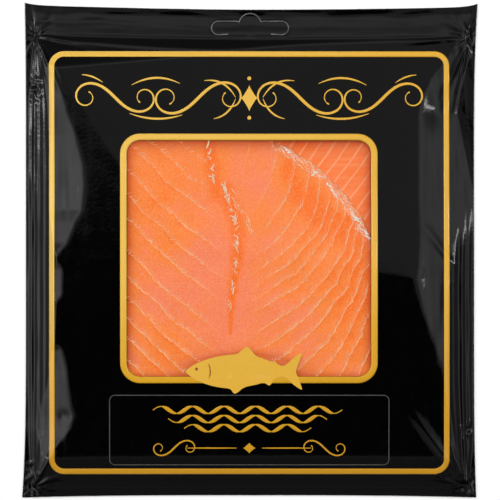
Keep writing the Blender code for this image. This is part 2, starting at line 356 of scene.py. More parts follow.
def make_pouch():
    window = arc_points(WINDOW_MIDDLE, WINDOW_HALF, WINDOW_CORNER, SIDE_STEPS, CORNER_STEPS)
    outline = outline_points()
    coarse = np.linspace(0, 0.5, 27)
    fine = np.linspace(0.5, 1.0, 68)[1:]
    rings = []

    def ring(points, height):
        return np.column_stack([points, np.broadcast_to(height, len(points))])

    lip = film_height(window[:, 0], window[:, 1])
    middle = np.array(WINDOW_MIDDLE)
    pocket = middle + (window - middle) * 1.06
    rings.append(ring(pocket, 0.9))
    rings.append(ring(pocket, lip - 0.35))
    rings.append(ring(window, lip - 0.22))
    for share in [*coarse, *fine]:
        points = window + (outline - window) * share
        rings.append(ring(points, film_height(points[:, 0], points[:, 1])))
    rings.append(ring(outline, WELD_UNDERSIDE))
    for inset in (0.8, 2.0, 3.4, 5.0, 7.0):
        share = 1 - inset / 96.0
        lift = WELD_UNDERSIDE * (1 - inset / 7.0) ** 2 * (1 + 2 * inset / 7.0)
        rings.append(ring(outline * share, lift))
    rings.append(ring(outline * 0.5, 0.0))
    return ring_mesh("film_pouch", rings)


class Wiring:
    """Adds the nodes of a finish or a tree, and joins them up."""

    def __init__(self, tree):
        self.tree = tree

    def join(self, value, socket):
        """Links a socket to another node, or gives it a fixed value."""
        if isinstance(value, bpy.types.NodeSocket):
            self.tree.links.new(value, socket)
        elif socket.type == "RGBA":
            socket.default_value = (*value, 1)
        else:
            socket.default_value = value

    def add(self, kind, inputs=(), **settings):
        """A node with its settings and inputs, each input known by its name or number."""
        node = self.tree.nodes.new(kind)
        for name, value in settings.items():
            setattr(node, name, value)
        for key, value in dict(inputs).items():
            self.join(value, node.inputs[key])
        return node

    def maths(self, operation, *values):
        return self.add("ShaderNodeMath", enumerate(values), operation=operation).outputs[0]

    def vector(self, x=0.0, y=0.0, z=0.0):
        return self.add("ShaderNodeCombineXYZ", enumerate((x, y, z))).outputs[0]

    def parts(self, vector):
        return self.add("ShaderNodeSeparateXYZ", {0: vector}).outputs

    def ranged(self, value, low, high, out_low=0.0, out_high=1.0):
        """Stretches a value from one range to another, clamped."""
        inputs = enumerate((value, low, high, out_low, out_high))
        return self.add("ShaderNodeMapRange", inputs, clamp=True).outputs[0]

    def blend(self, factor, first, second, way="MIX"):
        inputs = {"Factor": factor, "A": first, "B": second}
        return self.add("ShaderNodeMix", inputs, data_type="RGBA", blend_type=way).outputs["Result"]

    def ramp(self, value, steps):
        """Colours by steps, each with its share of the way and its colour."""
        node = self.add("ShaderNodeValToRGB", {"Fac": value})
        elements = node.color_ramp.elements
        while len(elements) < len(steps):
            elements.new(0.5)
        for element, (share, colour) in zip(elements, steps):
            element.position = share
            element.color = (*colour, 1)
        return node.outputs["Color"]


class Finish(Wiring):
    """A material with one shader, whose noise lies in the object's own space."""

    def __init__(self, name):
        self.material = bpy.data.materials.new(name)
        self.material.use_nodes = True
        super().__init__(self.material.node_tree)
        self.shader = self.tree.nodes["Principled BSDF"]
        self.place = self.add("ShaderNodeTexCoord").outputs["Object"]

    def give(self, inputs):
        for name, value in inputs.items():
            self.join(value, self.shader.inputs[name])
        return self.material

    def number(self, name):
        """A number kept at each point of the mesh."""
        return self.add("ShaderNodeAttribute", attribute_name=name).outputs["Fac"]

    def noise(self, scale, detail=2.0, roughness=0.5, distortion=0.0, vector=None):
        return self.add("ShaderNodeTexNoise", {
            "Vector": vector or self.place, "Scale": scale, "Detail": detail,
            "Roughness": roughness, "Distortion": distortion,
        }).outputs["Fac"]

    def varied(self, low, high, scale, detail=2.0):
        """A number that drifts between two values from place to place."""
        return self.ranged(self.noise(scale, detail), 0.3, 0.7, low, high)

    def stretched(self, scale, detail, turn, ratio):
        """Noise drawn out in one direction."""
        inputs = {"Vector": self.place, "Rotation": (0, 0, turn), "Scale": ratio}
        return self.noise(scale, detail, vector=self.add("ShaderNodeMapping", inputs).outputs[0])

    def bump(self, height, distance, strength):
        inputs = {"Height": height, "Distance": distance, "Strength": strength}
        return self.add("ShaderNodeBump", inputs).outputs["Normal"]


def black_film_finish():
    """Glossy black print under a clear film: nearly a mirror, with a faint grain."""
    film = Finish("black_printed_film")
    grain = film.noise(90.0, 3.0)
    return film.give({
        "Base Color": film.blend(grain, (0.0004, 0.0004, 0.0004), (0.0010, 0.0010, 0.0009)),
        "Roughness": film.varied(0.06, 0.11, 240.0, 3.0),
        "Specular IOR Level": 0.5,
        "Normal": film.bump(film.noise(700.0), 0.0002, 0.08),
    })


film_pouch = make_pouch()
film_pouch.data.materials.append(black_film_finish())
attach(film_pouch, "root")
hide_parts("pouch")

# ---- The two slices of smoked salmon -----------------------------------------------------------
# Thin slices cut along the side of the fish, laid one on the other. Bands of orange muscle lie in
# nested chevrons on both sides of a dark seam, with pale lines of fat between them. The upper
# slice ends in a moist, ragged edge in the head right corner, and the lower one shows past it.

SLICE_MIDDLE = (-19.0, -25.3)
SLICE_EDGE_RADIUS = 76.3
# The free edge runs as an arc between these directions, and under the film past them.
FREE_EDGE = ((-180, 34), (8, 34), (20, 0), (67.5, 0), (80, 34), (180, 34))
POCKET_HALF = (53.7, 52.0)
POCKET_CORNER = 8.4
UPPER_DEPTH = 1.45
LOWER_DEPTH = 2.6

# The dark seam, as (height, place across). It steps sideways where two muscles meet.
SEAM_HEAD = ((22.5, -13.7), (27, -13.9), (31, -15.4), (37, -16.2), (47, -17.6))
SEAM_FOOT = (
    (-56, -9.2), (-36, -8.3), (-26, -7.9), (-18.5, -7.1), (-13, -6.6), (-5, -5.4), (3.5, -5.0),
    (10.6, -5.4), (14, -6.2), (20, -8.8), (26, -10.6),
)

# How wide the deep orange runs beside it, as (height, share of the widest).
SEAM_WIDTH = ((-50, 0.08), (-36, 0.16), (-24, 0.50), (-5, 0.9), (15, 1.2), (30, 1.1), (46, 0.8))

# Where the fat lines cross the seam's own line, in millimetres, on each side of it.
LEFT_LINES = (-92, -82, -72, -64.5, -56, -46, -36.6, -23, -13, -3, 9, 19, 30, 42)
RIGHT_LINES = (
    -132, -118, -104, -90, -78, -67, -57, -48, -40.5, -32, -26, -20.5, -15, -9, -3, 3, 10, 18, 27
)

# Patches of tone on the upper slice: middle, size and strength. Minus is pinker, plus is redder.
TONE_PATCHES = (
    ((22, 23), (6, 8), 1.9), ((33, 12), (7, 6), 2.0), ((42, 7), (6, 5), 1.8),
    ((16, 34), (4, 7), 1.4), ((28, 19), (9, 10), 0.8),
    ((49, -14), (9, 26), 0.9), ((40, -22), (12, 16), 0.6),
    ((-38, 32), (17, 18), 0.55), ((-2, -25), (24, 24), -0.75), ((4, 26), (12, 15), -0.35),
    ((-27, -10), (16, 18), -0.5), ((-52, 10), (5, 40), 0.5), ((-20, 6), (9, 15), -0.4),
    ((-40, -42), (14, 12), 0.5), ((-30, 8), (9, 7), 0.6), ((22, -32), (12, 10), -0.4),
)


def seam_gap(x, y):
    """Distance from the dark seam, and which side of it a place is on."""
    head_x = np.interp(y, *zip(*SEAM_HEAD))
    foot_x = np.interp(y, *zip(*SEAM_FOOT))
    to_head = np.hypot(x - head_x, np.clip(23.5 - y, 0, None))
    past_foot = np.clip(y - 26, 0, None) + 0.5 * np.clip(-34 - y, 0, None)
    to_foot = np.hypot(x - foot_x, past_foot)
    blend = 1 / (1 + np.exp(-(y - 24.5) / 0.8))
    side = x - (head_x * blend + foot_x * (1 - blend))
    return np.minimum(to_head, to_foot), side


def muscle_bands(x, y):
    """The place of each point in the rows of muscle, one whole number from line to line."""
    sway_x = x + 0.35 * ripples(x, y, 17.0, 21) + 0.13 * ripples(x, y, 4.0, 22)
    sway_y = y + 0.35 * ripples(x, y, 16.0, 23) + 0.13 * ripples(x, y, 3.6, 24)
    out_left = np.abs(np.minimum(sway_x + 8, 0))
    out_right = np.maximum(sway_x + 8, 0)
    left_level = sway_y - 0.60 * out_left - 0.0057 * out_left**2
    eased = sway_y - 0.0107 * np.clip(sway_y + 10, 0, 40) ** 2
    eased = eased - 0.85 * np.clip(sway_y - 30, 0, None)
    right_level = eased - 0.60 * out_right - 0.00034 * np.clip(out_right - 14, 0, None) ** 3
    left = np.interp(left_level, LEFT_LINES, np.arange(len(LEFT_LINES)))
    right = np.interp(right_level, RIGHT_LINES, np.arange(len(RIGHT_LINES)))
    return left, right


def pocket_gap(x, y):
    """Signed distance to the side of the pocket under the film, less than 0 inside it."""
    off_x = np.abs(x - WINDOW_MIDDLE[0]) - (POCKET_HALF[0] - POCKET_CORNER)
    off_y = np.abs(y - WINDOW_MIDDLE[1]) - (POCKET_HALF[1] - POCKET_CORNER)
    outside = np.hypot(np.maximum(off_x, 0), np.maximum(off_y, 0))
    return outside + np.minimum(np.maximum(off_x, off_y), 0) - POCKET_CORNER


def pocket_reach(centre, turn):
    """How far the pocket's side is from a centre in each direction."""
    near, far = np.zeros_like(turn), np.full_like(turn, 140.0)
    for _ in range(40):
        middle = (near + far) / 2
        x, y = centre[0] + middle * np.cos(turn), centre[1] + middle * np.sin(turn)
        inside = pocket_gap(x, y) < 0
        near = np.where(inside, middle, near)
        far = np.where(inside, far, middle)
    return near


def ragged_edge(turn):
    """The radius of the upper slice's free edge, nicked and frayed."""
    along = turn * SLICE_EDGE_RADIUS
    flat = np.zeros_like(along)
    return (
        SLICE_EDGE_RADIUS
        + np.interp(np.degrees(np.arctan2(np.sin(turn), np.cos(turn))), *zip(*FREE_EDGE))
        + 0.32 * ripples(along, flat, 10.0, 31)
        + 0.16 * ripples(along, flat, 2.6, 32)
        + 0.08 * ripples(along, flat, 1.1, 33)
    )


def set_numbers(piece, name, values):
    piece.data.attributes.new(name, "FLOAT", "POINT").data.foreach_set("value", values)


def points_of(piece):
    flat = np.empty(len(piece.data.vertices) * 3)
    piece.data.vertices.foreach_get("co", flat)
    return flat.reshape(-1, 3) / MM


def make_slice(name, centre, spokes, shares, outer, top_depth, bottom_depth, surface):
    """A slice as rings round a centre: its top out to the edge, then its flat underside."""
    turn = np.linspace(0, 2 * math.pi, spokes, endpoint=False)
    radius = outer(turn)
    rings = []
    for share in shares:
        x = centre[0] + radius * share * np.cos(turn)
        y = centre[1] + radius * share * np.sin(turn)
        rings.append(np.column_stack([x, y, film_height(x, y) - top_depth + surface(x, y)]))
    edge = rings[-1]
    under = film_height(edge[:, 0], edge[:, 1]) - bottom_depth
    rings.append(np.column_stack([edge[:, 0], edge[:, 1], np.maximum(under, 1.0)]))
    return ring_mesh(name, rings)


def free_edge_gap(x, y):
    """How far inside the upper slice's free edge a place is."""
    away_x, away_y = x - SLICE_MIDDLE[0], y - SLICE_MIDDLE[1]
    return ragged_edge(np.arctan2(away_y, away_x)) - np.hypot(away_x, away_y)


def upper_surface(x, y):
    seam, _ = seam_gap(x, y)
    inside = free_edge_gap(x, y)
    swell = 0.12 * ripples(x, y, 17.0, 25) + 0.05 * ripples(x, y, 6.0, 26)
    groove = -0.10 * bell(seam / 1.6)
    lip = 0.28 * bell((inside - 2.6) / 2.0)
    fray = 0.10 * ripples(x, y, 2.2, 27, 30) * np.exp(-inside / 3.4)
    rolled = -0.75 * np.exp(-np.clip(inside, 0, None) / 0.8)
    return swell + groove + lip + fray + rolled


def lower_surface(x, y):
    return 0.12 * ripples(x, y, 15.0, 28)


def upper_outline(turn):
    return np.minimum(ragged_edge(turn), pocket_reach(SLICE_MIDDLE, turn))


# The slices' own rings and spokes are closest at the upper slice's free edge.
UPPER_SPOKES = 760
LOWER_SPOKES = 360
wide_rings = np.linspace(0.006, 0.93, 92)
rim_rings = np.linspace(0.93, 1.0, 25)[1:]
upper_slice = make_slice(
    "salmon_slice_upper", SLICE_MIDDLE, UPPER_SPOKES, [*wide_rings, *rim_rings], upper_outline,
    UPPER_DEPTH, LOWER_DEPTH - 0.12, upper_surface,
)
lower_slice = make_slice(
    "salmon_slice_lower", WINDOW_MIDDLE, LOWER_SPOKES, np.linspace(0.01, 1.0, 70),
    lambda turn: pocket_reach(WINDOW_MIDDLE, turn), LOWER_DEPTH, 6.0, lower_surface,
)


FISH_SHADOW_MIDDLE = (-3.4, -50.8)
FISH_SHADOW_HALF = (24.5, 8.4)


def window_shade(x, y):
    """How deep in the soft shadow of the window's frame a place lies, from 0 to 1."""
    off_x, off_y = x - WINDOW_MIDDLE[0], y - WINDOW_MIDDLE[1]
    sides = (
        (WINDOW_HALF[1] - off_y, 3.0, 1.0), (WINDOW_HALF[1] + off_y, 1.5, 0.62),
        (WINDOW_HALF[0] + off_x, 2.3, 0.95), (WINDOW_HALF[0] - off_x, 2.3, 0.88),
    )
    # The gold fish casts a little shadow too.
    fish = np.hypot(
        (x - FISH_SHADOW_MIDDLE[0]) / FISH_SHADOW_HALF[0],
        (y - FISH_SHADOW_MIDDLE[1]) / FISH_SHADOW_HALF[1],
    )
    light = 1 - 0.5 * np.exp(-np.clip(fish - 0.97, 0, None) / 0.16)
    for gap, reach, depth in sides:
        light = light * (1 - depth * np.exp(-((np.clip(gap, 0, None) / reach) ** 1.4)))
    return 1 - light


def band_widths(x, y):
    """How wide each band is, in millimetres, on each side of the seam."""
    step = 0.4
    here, over, up = muscle_bands(x, y), muscle_bands(x + step, y), muscle_bands(x, y + step)
    return [step / np.hypot(over[side] - here[side], up[side] - here[side]) for side in (0, 1)]


# What the flesh's finish needs to know at each point of the upper slice.
spot = points_of(upper_slice)
spot_x, spot_y = spot[:, 0], spot[:, 1]
seam_distance, seam_side = seam_gap(spot_x, spot_y)
left_bands, right_bands = muscle_bands(spot_x, spot_y)
left_widths, right_widths = band_widths(spot_x, spot_y)
tone = sum(
    strength * bell(np.hypot((spot_x - middle[0]) / size[0], (spot_y - middle[1]) / size[1]))
    for middle, size, strength in TONE_PATCHES
)
off_seam = np.abs(seam_side)
left_strength = np.clip((off_seam - 2) / 14, 0, 1) * np.interp(
    spot_y, (-40, 5, 40), (1.0, 0.80, 0.50)
)
right_strength = np.clip((off_seam - 2) / 18, 0, 1) * np.interp(
    spot_y, (-50, -20, 0, 30), (1.0, 0.95, 0.75, 0.50)
)
turn = np.arctan2(spot_y - SLICE_MIDDLE[1], spot_x - SLICE_MIDDLE[0])
for name, values in {
    "bands_left": left_bands, "bands_right": right_bands, "band_width_left": left_widths,
    "band_width_right": right_widths, "seam_side": seam_side, "tone": tone,
    "seam_distance": seam_distance / np.interp(spot_y, *zip(*SEAM_WIDTH)),
    "edge_distance": free_edge_gap(spot_x, spot_y), "edge_along": SLICE_EDGE_RADIUS * turn,
    "fat_left": left_strength, "fat_right": right_strength,
    "shade": window_shade(spot_x, spot_y),
}.items():
    set_numbers(upper_slice, name, values)

# The lower slice's lines run straight up to the right.
LOWER_LINE_TURN = math.radians(54)
LOWER_LINE_GAP = 4.7
spot = points_of(lower_slice)
across_lines = spot[:, 0] * math.sin(LOWER_LINE_TURN) - spot[:, 1] * math.cos(LOWER_LINE_TURN)
across_lines = across_lines + 0.12 * ripples(spot[:, 0], spot[:, 1], 16.0, 29)
set_numbers(lower_slice, "bands", across_lines / LOWER_LINE_GAP)
set_numbers(lower_slice, "shade", window_shade(spot[:, 0], spot[:, 1]))


FLESH_PINK = (0.95, 0.232, 0.112)
FLESH_ORANGE = (0.97, 0.236, 0.036)
FLESH_DEEP = (0.95, 0.158, 0.002)
FLESH_SPECK = (0.90, 0.150, 0.030)
LOWER_PINK = (0.97, 0.225, 0.070)
LOWER_ORANGE = (0.96, 0.190, 0.030)
FAT_PALE = (0.98, 0.52, 0.30)
# The white of the free edge's streaks: partly pale flesh, partly painted highlight.
PALE_STREAK_AND_HIGHLIGHT = (0.99, 0.80, 0.66)
SHADED = (0.52, 0.26, 0.16)


def fat_lines(flesh, side, lean):
    """Pale lines between the bands. Each is crisp below and fades out in hairs above."""
    wander = flesh.maths("MULTIPLY_ADD", flesh.noise(380.0, 4.0, 0.7), 0.26, -0.13)
    jitter = flesh.maths("MULTIPLY_ADD", flesh.noise(1200.0), 0.12, -0.06)
    moved = flesh.maths("ADD", flesh.number("bands_" + side), wander)
    phase = flesh.maths("FRACT", flesh.maths("ADD", moved, jitter))
    width = flesh.number("band_width_" + side)
    above = flesh.maths("MULTIPLY", phase, width)
    below = flesh.maths("MULTIPLY", flesh.maths("SUBTRACT", 1.0, phase), width)
    thick = flesh.ranged(flesh.noise(240.0, 3.0), 0.35, 0.68, 0.12, 0.60)
    core = flesh.ranged(flesh.maths("DIVIDE", above, thick), 0.35, 1.0, 1.0, 0.0)
    crisp = flesh.ranged(flesh.maths("DIVIDE", below, thick), 0.10, 0.42, 1.0, 0.0)
    broken = flesh.ranged(flesh.noise(200.0), 0.36, 0.54, 0.35, 1.0)
    line = flesh.maths("MULTIPLY", flesh.maths("MAXIMUM", core, crisp), broken)
    hairs = flesh.ranged(flesh.stretched(720.0, 3.0, lean, (1.8, 0.5, 1)), 0.40, 0.66, 0.15, 1.0)
    fade = flesh.maths("MULTIPLY", flesh.ranged(above, 0.0, 2.8, 0.55, 0.0), hairs)
    dark = flesh.ranged(below, 0.1, 2.6, 0.75, 0.0)
    strength = flesh.number("fat_" + side)
    return [
        flesh.maths("MULTIPLY", value, strength)
        for value in (flesh.maths("MAXIMUM", line, fade), dark)
    ]


def upper_flesh_finish():
    flesh = Finish("smoked_salmon_upper")
    on_right = flesh.ranged(flesh.number("seam_side"), -0.4, 0.4)
    on_left = flesh.maths("SUBTRACT", 1.0, on_right)
    lines, darks = [
        flesh.maths("MULTIPLY_ADD", right, on_right, flesh.maths("MULTIPLY", left, on_left))
        for left, right in zip(
            fat_lines(flesh, "left", math.radians(35)), fat_lines(flesh, "right", math.radians(-40))
        )
    ]

    # The muscle is pinker or more orange in clouds, and deepest just below each line.
    cloud = flesh.maths("MULTIPLY_ADD", flesh.noise(75.0, 3.0), 3.0, -1.5)
    mottle = flesh.maths("MULTIPLY_ADD", flesh.noise(520.0, 4.0, 0.75), 1.5, -0.75)
    tone = flesh.maths("ADD", flesh.maths("ADD", flesh.number("tone"), cloud), mottle)
    tone = flesh.maths("MULTIPLY_ADD", darks, 1.1, tone)
    colour = flesh.blend(flesh.ranged(tone, -0.8, 0.45), FLESH_PINK, FLESH_ORANGE)
    colour = flesh.blend(flesh.ranged(tone, 0.45, 1.6, 0.0, 0.9), colour, FLESH_DEEP)
    uneven = flesh.maths("MULTIPLY_ADD", flesh.noise(330.0, 3.0, 0.6), 3.0, -1.5)
    by_seam = flesh.maths("ADD", flesh.number("seam_distance"), uneven)
    colour = flesh.blend(flesh.ranged(by_seam, 1.0, 4.2, 1.0, 0.0), colour, FLESH_DEEP)
    specks = flesh.ranged(flesh.noise(1100.0, 3.0, 0.8), 0.48, 0.70, 0.0, 0.34)
    colour = flesh.blend(specks, colour, FLESH_SPECK)

    # The free edge is washed paler and carries white streaks that run along it; these are partly
    # its own pale flesh and partly painted wet highlights.
    edge = flesh.number("edge_distance")
    along = flesh.maths("MULTIPLY", flesh.number("edge_along"), 0.55)
    grain = flesh.noise(1.0, 3.0, 0.6, 0.6, flesh.vector(along, flesh.maths("MULTIPLY", edge, 1.7)))
    clumps = flesh.ranged(flesh.noise(150.0), 0.36, 0.56, 0.25, 1.0)
    streaks = flesh.maths("MULTIPLY", flesh.ranged(grain, 0.57, 0.63), clumps)
    edge_streaks_and_highlights = flesh.maths("MULTIPLY", streaks, flesh.ranged(edge, 1.6, 4.2, 0.9, 0.0))
    wash = flesh.ranged(edge, 0.0, 3.2, 0.34, 0.0)
    fibres = flesh.ranged(flesh.noise(1500.0, 3.0, 0.8), 0.44, 0.70, 0.0, 0.34)
    pale = flesh.maths("MAXIMUM", flesh.maths("MAXIMUM", lines, fibres), wash)
    colour = flesh.blend(edge_streaks_and_highlights, flesh.blend(pale, colour, FAT_PALE), PALE_STREAK_AND_HIGHLIGHT)
    relief = flesh.maths("MULTIPLY_ADD", lines, 0.5, flesh.noise(700.0, 3.0))
    moist = flesh.ranged(edge, 0.5, 4.5, 0.10, 0.36)
    return flesh.give({
        "Base Color": flesh.blend(flesh.number("shade"), colour, SHADED, "MULTIPLY"),
        "Roughness": flesh.maths("ADD", moist, flesh.varied(-0.05, 0.05, 600.0)),
        "Specular IOR Level": flesh.ranged(edge, 0.5, 5.0, 0.60, 0.14),
        "Normal": flesh.bump(relief, 0.00012, 0.5),
    })


def lower_flesh_finish():
    flesh = Finish("smoked_salmon_lower")
    wander = flesh.maths("MULTIPLY_ADD", flesh.noise(150.0), 0.05, -0.025)
    phase = flesh.maths("FRACT", flesh.maths("ADD", flesh.number("bands"), wander))
    off_line = flesh.maths("ABSOLUTE", flesh.maths("SUBTRACT", phase, 0.5))
    thick = flesh.ranged(flesh.noise(120.0), 0.35, 0.65, 0.08, 0.17)
    lines = flesh.ranged(flesh.maths("DIVIDE", off_line, thick), 0.0, 1.0, 0.62, 0.0)
    colour = flesh.blend(flesh.varied(0.0, 1.0, 70.0, 3.0), LOWER_PINK, LOWER_ORANGE)
    drawn_out = flesh.stretched(420.0, 3.0, -LOWER_LINE_TURN, (0.14, 1.4, 1))
    streaks = flesh.ranged(drawn_out, 0.45, 0.8, 0.0, 0.22)
    colour = flesh.blend(flesh.maths("MAXIMUM", lines, streaks), colour, FAT_PALE)
    relief = flesh.maths("MULTIPLY_ADD", lines, 0.3, flesh.noise(800.0))
    return flesh.give({
        "Base Color": flesh.blend(flesh.number("shade"), colour, SHADED, "MULTIPLY"),
        "Roughness": flesh.varied(0.30, 0.42, 500.0),
        "Specular IOR Level": 0.12,
        "Normal": flesh.bump(relief, 0.0001, 0.4),
    })


upper_slice.data.materials.append(upper_flesh_finish())
lower_slice.data.materials.append(lower_flesh_finish())
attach(upper_slice, "root")
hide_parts("salmon_upper_slice")
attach(lower_slice, "root")
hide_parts("salmon_lower_slice")

# ---- Flecks and hairs of fat -------------------------------------------------------------------
# Short strands that lie on the upper slice: branching flecks of white fat in the dark seam, fine
# hairs of fat along the pale lines, and wet streaks along the free edge, partly pale flesh and
# partly painted highlights, with painted white glints among them. They are part of the flesh.


class Tree(Wiring):
    """A tree of Geometry Nodes with named inputs, which ends in real mesh with a material."""

    def __init__(self, name, inputs):
        super().__init__(bpy.data.node_groups.new(name, "GeometryNodeTree"))
        self.tree.is_modifier = True
        sockets = [(label, "INPUT", kind, value) for label, kind, value in inputs]
        for label, way, kind, value in [*sockets, ("Result", "OUTPUT", "Geometry", None)]:
            socket = self.tree.interface.new_socket(
                name=label, in_out=way, socket_type="NodeSocket" + kind
            )
            if value is not None:
                socket.default_value = value
        self.given = self.add("NodeGroupInput").outputs

    def random(self, low, high, step):
        """A random number for each point between two values, by the seed and a step past it."""
        seed = self.given["Seed"]
        if step:
            inputs = {0: seed, 1: step}
            seed = self.add("FunctionNodeIntegerMath", inputs, operation="ADD").outputs[0]
        node = self.add("FunctionNodeRandomValue", data_type="FLOAT")
        inputs = {socket.identifier: socket for socket in node.inputs}
        for name, value in (("Min_001", low), ("Max_001", high), ("Seed", seed)):
            self.join(value, inputs[name])
        return next(socket for socket in node.outputs if socket.identifier == "Value_001")

    def either_way(self, name, step):
        return self.random(self.maths("MULTIPLY", self.given[name], -1.0), self.given[name], step)

    def landed(self, geometry, names):
        """Drops every point straight down on to the named objects, and keeps its own height."""
        targets = self.add("GeometryNodeJoinGeometry")
        for name in names:
            inputs = {"Object": self.given[name]}
            seen = self.add("GeometryNodeObjectInfo", inputs, transform_space="RELATIVE")
            self.join(seen.outputs["Geometry"], targets.inputs[0])
        place = self.parts(self.add("GeometryNodeInputPosition").outputs[0])
        drop = self.add("GeometryNodeRaycast", {
            "Target Geometry": targets.outputs[0], "Ray Direction": (0, 0, -1), "Ray Length": 0.1,
            "Source Position": self.vector(place["X"], place["Y"], 0.05),
        })
        lift = self.vector(z=self.maths("ADD", place["Z"], self.given["Lift"]))
        inputs = {0: drop.outputs["Hit Position"], 1: lift}
        landing = self.add("ShaderNodeVectorMath", inputs, operation="ADD").outputs[0]
        inputs = {"Geometry": geometry, "Position": landing}
        return self.add("GeometryNodeSetPosition", inputs).outputs[0]

    def end(self, geometry, material):
        real = self.add("GeometryNodeRealizeInstances", {0: geometry}).outputs[0]
        inputs = {"Geometry": real, "Material": self.given[material]}
        self.add("NodeGroupOutput", {0: self.add("GeometryNodeSetMaterial", inputs).outputs[0]})
        return self.tree


def strand_tree():
    """Short tapered strands scattered along paths and laid on the flesh."""
    tree = Tree("fat_strands", (
        ("Paths", "Geometry", None), ("Spacing", "Float", 0.001), ("Sideways", "Float", 0.001),
        ("Turn", "Float", 0.0), ("Turn spread", "Float", 1.0), ("Shortest", "Float", 0.001),
        ("Longest", "Float", 0.002), ("Thinnest", "Float", 0.0001), ("Thickest", "Float", 0.0002),
        ("Share kept", "Float", 1.0), ("Lift", "Float", 0.0), ("Seed", "Int", 1),
        ("Flesh", "Object", None), ("Finish", "Material", None),
    ))
    given = tree.given
    inputs = {"Curve": given["Paths"], "Length": given["Spacing"]}
    points = tree.add("GeometryNodeCurveToPoints", inputs, mode="LENGTH").outputs

    # Shift each point sideways, keep some of them and turn each about its path.
    shift = tree.vector(tree.either_way("Sideways", 0), tree.either_way("Sideways", 1))
    moved = tree.add("GeometryNodeSetPosition", {"Geometry": points["Points"], "Offset": shift})
    tangent = tree.parts(points["Tangent"])
    heading = tree.maths("ARCTAN2", tangent["Y"], tangent["X"])
    swing = tree.maths("ADD", given["Turn"], tree.either_way("Turn spread", 2))
    turn = tree.vector(z=tree.maths("ADD", heading, swing))
    inputs = {0: tree.random(0.0, 1.0, 5), 1: given["Share kept"]}
    kept = tree.add("FunctionNodeCompare", inputs, data_type="FLOAT", operation="LESS_THAN")

    # One strand: a bent line with a round section that tapers to both ends.
    bent = tree.add("GeometryNodeCurveQuadraticBezier", {
        "Resolution": 6, "Start": (0.0, 0.0, 0.0), "Middle": (0.5, 2.4, 0.0),
        "End": (1.0, 0.6, 0.0),
    })
    factor = tree.add("GeometryNodeSplineParameter").outputs["Factor"]
    past_thickest = tree.maths("ABSOLUTE", tree.maths("MULTIPLY_ADD", factor, 2.0, -0.8))
    taper = tree.maths("SUBTRACT", 1.05, tree.maths("POWER", past_thickest, 1.6))
    ring = tree.add("GeometryNodeCurvePrimitiveCircle", {"Resolution": 5, "Radius": 1.0})
    strand = tree.add("GeometryNodeCurveToMesh", {
        "Curve": bent.outputs[0], "Profile Curve": ring.outputs[0], "Fill Caps": True,
        "Scale": tree.maths("MAXIMUM", taper, 0.12),
    })
    thickness = tree.random(given["Thinnest"], given["Thickest"], 3)
    length = tree.random(given["Shortest"], given["Longest"], 4)
    placed = tree.add("GeometryNodeInstanceOnPoints", {
        "Points": moved.outputs[0], "Selection": kept.outputs[0], "Instance": strand.outputs[0],
        "Rotation": tree.add("FunctionNodeEulerToRotation", {0: turn}).outputs[0],
        "Scale": tree.vector(length, thickness, tree.maths("MULTIPLY", thickness, 0.4)),
    })
    real = tree.add("GeometryNodeRealizeInstances", {0: placed.outputs[0]}).outputs[0]
    return tree.end(tree.landed(real, ("Flesh",)), "Finish")


def made_by_tree(name, source, tree, values):
    """Runs a tree on a source object and keeps its result as a plain mesh object."""
    modifier = source.modifiers.new(name, "NODES")
    modifier.node_group = tree
    for item in tree.interface.items_tree:
        if item.item_type == "SOCKET" and item.in_out == "INPUT" and item.name in values:
            modifier[item.identifier] = values[item.name]
    bpy.context.view_layer.update()
    seen = source.evaluated_get(bpy.context.evaluated_depsgraph_get())
    mesh = bpy.data.meshes.new_from_object(seen)
    mesh.name = name
    source.modifiers.remove(modifier)
    bpy.data.objects.remove(source)
    close_up(mesh, merge=1e-7)
    return in_scene(name, mesh)


def path_object(name, lines):
    """A curve object. Each line is (points in mm, widths or None, closed or not)."""
    curve = bpy.data.curves.new(name, "CURVE")
    curve.dimensions = "3D"
    for points, widths, closed in lines:
        spline = curve.splines.new("POLY")
        spline.points.add(len(points) - 1)
        for index, (x, y) in enumerate(points):
            spline.points[index].co = (x * MM, y * MM, 0, 1)
            spline.points[index].radius = 1.0 if widths is None else widths[index]
        spline.use_cyclic_u = closed
    return in_scene(name, curve)


# A finish for the strands: fat, and also the painted white of the wet glints and highlights.
def fat_and_glint_finish(name, colour, deeper, roughness):
    fat = Finish(name)
    return fat.give({
        "Base Color": fat.blend(fat.ranged(fat.noise(500.0, 3.0), 0.35, 0.65), deeper, colour),
        "Roughness": fat.varied(roughness - 0.04, roughness + 0.04, 900.0),
        "Normal": fat.bump(fat.noise(1800.0), 0.00005, 0.3),
    })


seam_fat = fat_and_glint_finish("seam_fat", (1.0, 0.74, 0.56), (0.99, 0.50, 0.28), 0.35)
line_fat = fat_and_glint_finish("line_fat", (1.0, 0.60, 0.38), (0.98, 0.40, 0.19), 0.40)
# The wet edge's white streaks are partly pale flesh and partly painted wet highlights.
wet_streak_and_highlight = fat_and_glint_finish("wet_edge", (1.0, 0.95, 0.86), (0.99, 0.58, 0.38), 0.12)
strands = strand_tree()


MEASURED = ("Spacing", "Sideways", "Shortest", "Longest", "Thinnest", "Thickest", "Lift")


def fat_strands(name, lines, finish, values):
    values = {key: value * MM if key in MEASURED else value for key, value in values.items()}
    piece = made_by_tree(
        name, path_object(name + "_path", lines), strands,
        {**values, "Flesh": upper_slice, "Finish": finish},
    )
    piece.data.polygons.foreach_set("use_smooth", [True] * len(piece.data.polygons))
    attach(piece, "root")


def seam_path(stations, low, high):
    heights = np.linspace(low, high, 8)
    return [(x, y) for x, y in zip(np.interp(heights, *zip(*stations)), heights)]


def arc_path(radius, start, end):
    turns = np.radians(np.arange(start, end, 0.5))
    return [
        (SLICE_MIDDLE[0] + radius * math.cos(turn), SLICE_MIDDLE[1] + radius * math.sin(turn))
        for turn in turns
    ]


